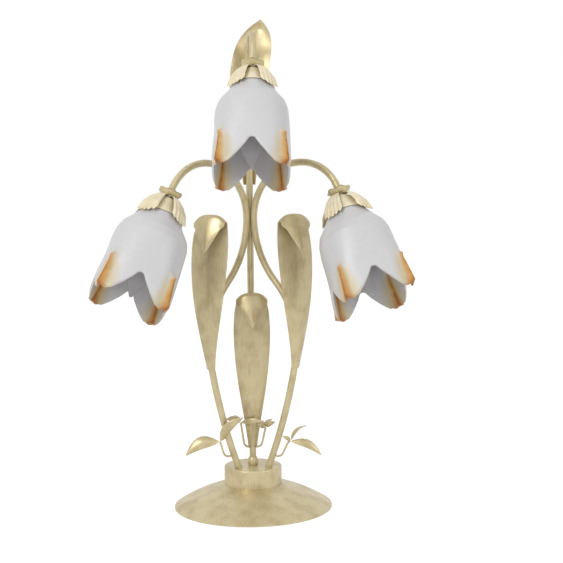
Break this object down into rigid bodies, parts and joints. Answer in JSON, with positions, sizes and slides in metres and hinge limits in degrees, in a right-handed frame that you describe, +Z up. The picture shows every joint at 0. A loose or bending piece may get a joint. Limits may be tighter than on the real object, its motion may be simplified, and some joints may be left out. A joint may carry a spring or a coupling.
{
  "type": "table lamp",
  "caption": "Table lamp with a domed metal base, bent tube stems, long folded metal leaves and drooping frosted tulip glass shades tipped in amber.",
  "frame": {"origin": "centre of the underside of the felt pad, on the table", "axes": "+Z up, -Y towards the front of the lamp, +X to the right seen from the front"},
  "size_m": [0.3505, 0.2761, 0.58],
  "materials": {
    "antique_gold": "satin champagne-gold paint, brushed with a darker patina",
    "leaf_gold": "satin champagne-gold paint, brushed with a darker patina",
    "cream_gold": "pale cream-gold satin paint",
    "frosted_glass": "frosted, with amber stain on the petals",
    "bulb_glass": "frosted",
    "nickel_cap": "nickel plate",
    "zinc_steel": "zinc plate",
    "brass": "bright turned",
    "cast_iron": "as cast",
    "black_plastic": "moulded",
    "white_plastic": "moulded",
    "flex_insulation": "extruded",
    "felt": "pressed felt"
  },
  "bodies": {
    "lamp_body": {"base_dish": "antique_gold", "base_weight": "cast_iron", "base_cover": "zinc_steel", "cover_screws": "zinc_steel", "felt_pad": "felt", "cord_bush": "black_plastic", "drum": "antique_gold", "stem_plate": "zinc_steel", "stem_ferrule": "antique_gold", "base_nut": "zinc_steel", "base_washer": "zinc_steel", "terminal_block": "white_plastic", "terminal_screws": "brass", "centre_stem": "antique_gold", "centre_flex": "flex_insulation", "left_arm": "antique_gold", "left_flex": "flex_insulation", "left_leaf": "leaf_gold", "right_arm": "antique_gold", "right_flex": "flex_insulation", "right_leaf": "leaf_gold", "front_leaf": "leaf_gold", "top_leaf": "leaf_gold", "left_spray_wire": "leaf_gold", "left_spray_leaves": "leaf_gold", "right_spray_wire": "leaf_gold", "right_spray_leaves": "leaf_gold", "centre_left_spray_wire": "leaf_gold", "centre_left_spray_leaves": "leaf_gold", "centre_right_spray_wire": "leaf_gold", "centre_right_spray_leaves": "leaf_gold", "lock_nuts": "zinc_steel", "centre_nipple": "brass", "centre_collar": "antique_gold", "centre_calyx": "cream_gold", "centre_cup": "cream_gold", "centre_holder": "black_plastic", "left_nipple": "brass", "left_collar": "antique_gold", "left_calyx": "cream_gold", "left_cup": "cream_gold", "left_holder": "black_plastic", "right_nipple": "brass", "right_collar": "antique_gold", "right_calyx": "cream_gold", "right_cup": "cream_gold", "right_holder": "black_plastic"},
    "centre_glass": {"centre_shade": "frosted_glass"},
    "centre_ring": {"centre_shade_ring": "black_plastic"},
    "centre_bulb": {"centre_bulb_cap": "nickel_cap", "centre_bulb_glass": "bulb_glass"},
    "left_glass": {"left_shade": "frosted_glass"},
    "left_ring": {"left_shade_ring": "black_plastic"},
    "left_bulb": {"left_bulb_cap": "nickel_cap", "left_bulb_glass": "bulb_glass"},
    "right_glass": {"right_shade": "frosted_glass"},
    "right_ring": {"right_shade_ring": "black_plastic"},
    "right_bulb": {"right_bulb_cap": "nickel_cap", "right_bulb_glass": "bulb_glass"}
  },
  "joints": [
    {"name": "centre_shade_lower", "type": "slide", "parent": "lamp_body", "child": "centre_glass", "axis": [-0.0428, -0.4077, -0.9121], "range_m": [0, 0.006]},
    {"name": "centre_ring_turn", "type": "hinge", "parent": "centre_glass", "child": "centre_ring", "pos_m": [0.00034, -0.07913, 0.49105], "axis": [-0.0428, -0.4077, -0.9121], "range_deg": [0, 1080]},
    {"name": "centre_bulb_draw", "type": "slide", "parent": "lamp_body", "child": "centre_bulb", "axis": [-0.0428, -0.4077, -0.9121], "range_m": [0, 0.022]},
    {"name": "left_shade_lower", "type": "slide", "parent": "lamp_body", "child": "left_glass", "axis": [-0.3429, -0.3742, -0.8616], "range_m": [0, 0.006]},
    {"name": "left_ring_turn", "type": "hinge", "parent": "left_glass", "child": "left_ring", "pos_m": [-0.10304, -0.10246, 0.35031], "axis": [-0.3429, -0.3742, -0.8616], "range_deg": [0, 1080]},
    {"name": "left_bulb_draw", "type": "slide", "parent": "lamp_body", "child": "left_bulb", "axis": [-0.3429, -0.3742, -0.8616], "range_m": [0, 0.022]},
    {"name": "right_shade_lower", "type": "slide", "parent": "lamp_body", "child": "right_glass", "axis": [0.2313, -0.4208, -0.8771], "range_m": [0, 0.006]},
    {"name": "right_ring_turn", "type": "hinge", "parent": "right_glass", "child": "right_ring", "pos_m": [0.103, -0.09425, 0.34996], "axis": [0.2313, -0.4208, -0.8771], "range_deg": [0, 1080]},
    {"name": "right_bulb_draw", "type": "slide", "parent": "lamp_body", "child": "right_bulb", "axis": [0.2313, -0.4208, -0.8771], "range_m": [0, 0.022]}
  ],
  "couplings": [
    {"joint": "centre_ring_turn", "follows": "centre_shade_lower", "rad_per_m": 3141.6},
    {"joint": "left_ring_turn", "follows": "left_shade_lower", "rad_per_m": 3141.6},
    {"joint": "right_ring_turn", "follows": "right_shade_lower", "rad_per_m": 3141.6}
  ]
}
